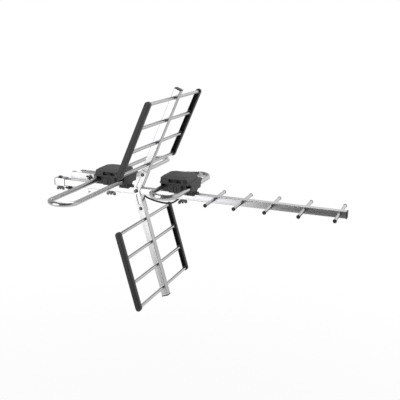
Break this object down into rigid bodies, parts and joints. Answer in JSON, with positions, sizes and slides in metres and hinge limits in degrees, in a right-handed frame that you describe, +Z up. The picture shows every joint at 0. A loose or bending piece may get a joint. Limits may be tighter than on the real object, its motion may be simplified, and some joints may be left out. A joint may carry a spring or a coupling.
{
  "type": "directional tv antenna",
  "caption": "Directional TV antenna with a corner reflector, folded dipoles in plastic boxes and directors along a square boom, with a toothed clamp for a round mast.",
  "frame": {"origin": "on the axis of the round mast that the clamp grips, at the height of the boom's axis", "axes": "+X along the boom towards the end the signal comes from, +Z up along the mast, +Y from the boom towards the mast"},
  "size_m": [0.8381, 0.6784, 0.5917],
  "materials": {
    "bare_aluminium": "satin drawn tube",
    "zinc_steel": "bright zinc plate",
    "bolt_steel": "zinc plate, darker",
    "black_plastic": "moulded, fine grain",
    "black_rubber": "smooth cable sheath",
    "circuit_board": "varnished board"
  },
  "bodies": {
    "antenna": {"boom": "bare_aluminium", "boom_cap_front": "black_plastic", "boom_cap_rear": "black_plastic", "boom_saddle": "zinc_steel", "bracket_bolt": "bolt_steel", "bracket_cheek_far": "zinc_steel", "bracket_cheek_near": "zinc_steel", "bracket_nut": "bolt_steel", "clamp_back_jaw": "zinc_steel", "clamp_fixed_jaw": "zinc_steel", "director_1": "bare_aluminium", "director_1_plug_far": "black_plastic", "director_1_plug_near": "black_plastic", "director_2": "bare_aluminium", "director_2_plug_far": "black_plastic", "director_2_plug_near": "black_plastic", "director_3": "bare_aluminium", "director_3_plug_far": "black_plastic", "director_3_plug_near": "black_plastic", "director_4": "bare_aluminium", "director_4_plug_far": "black_plastic", "director_4_plug_near": "black_plastic", "director_5": "bare_aluminium", "director_5_plug_far": "black_plastic", "director_5_plug_near": "black_plastic", "jumper_lead": "black_rubber", "lower_arm": "bare_aluminium", "lower_arm_plug": "black_plastic", "lower_edge_strip_far": "black_plastic", "lower_edge_strip_near": "black_plastic", "lower_reflector_rod_1": "bare_aluminium", "lower_reflector_rod_2": "bare_aluminium", "lower_reflector_rod_3": "bare_aluminium", "lower_reflector_rod_4": "bare_aluminium", "mast_bolt_lower": "bolt_steel", "mast_bolt_upper": "bolt_steel", "saddle_bolt": "bolt_steel", "uhf_box_base": "black_plastic", "uhf_box_bolt": "bolt_steel", "uhf_box_lid": "black_plastic", "uhf_dipole_loop": "bare_aluminium", "uhf_matching_board": "circuit_board", "upper_arm": "bare_aluminium", "upper_arm_plug": "black_plastic", "upper_edge_strip_far": "black_plastic", "upper_edge_strip_near": "black_plastic", "upper_reflector_rod_1": "bare_aluminium", "upper_reflector_rod_2": "bare_aluminium", "upper_reflector_rod_3": "bare_aluminium", "upper_reflector_rod_4": "bare_aluminium", "vhf_box_base": "black_plastic", "vhf_box_bolt": "bolt_steel", "vhf_box_lid": "black_plastic", "vhf_dipole_loop": "bare_aluminium", "vhf_matching_board": "circuit_board"},
    "vhf_box_wing_nut_body": {"vhf_box_wing_nut": "bolt_steel"},
    "uhf_box_wing_nut_body": {"uhf_box_wing_nut": "bolt_steel"},
    "saddle_wing_nut_body": {"saddle_wing_nut": "bolt_steel"},
    "mast_wing_nut_upper_body": {"mast_wing_nut_upper": "bolt_steel"},
    "mast_wing_nut_lower_body": {"mast_wing_nut_lower": "bolt_steel"}
  },
  "joints": [
    {"name": "vhf_box_nut_turn", "type": "hinge", "parent": "antenna", "child": "vhf_box_wing_nut_body", "pos_m": [0.1043, -0.0389, -0.0099], "axis": [0, 0, 1], "continuous": true},
    {"name": "uhf_box_nut_turn", "type": "hinge", "parent": "antenna", "child": "uhf_box_wing_nut_body", "pos_m": [0.3196, -0.0389, -0.0099], "axis": [0, 0, 1], "continuous": true},
    {"name": "saddle_nut_turn", "type": "hinge", "parent": "antenna", "child": "saddle_wing_nut_body", "pos_m": [-0.0565, -0.0389, -0.0118], "axis": [0, 0, 1], "continuous": true},
    {"name": "mast_nut_upper_turn", "type": "hinge", "parent": "antenna", "child": "mast_wing_nut_upper_body", "pos_m": [0.0325, -0.0293, 0.0187], "axis": [0, 1, 0], "continuous": true},
    {"name": "mast_nut_lower_turn", "type": "hinge", "parent": "antenna", "child": "mast_wing_nut_lower_body", "pos_m": [-0.0325, -0.0293, -0.0187], "axis": [0, 1, 0], "continuous": true}
  ]
}
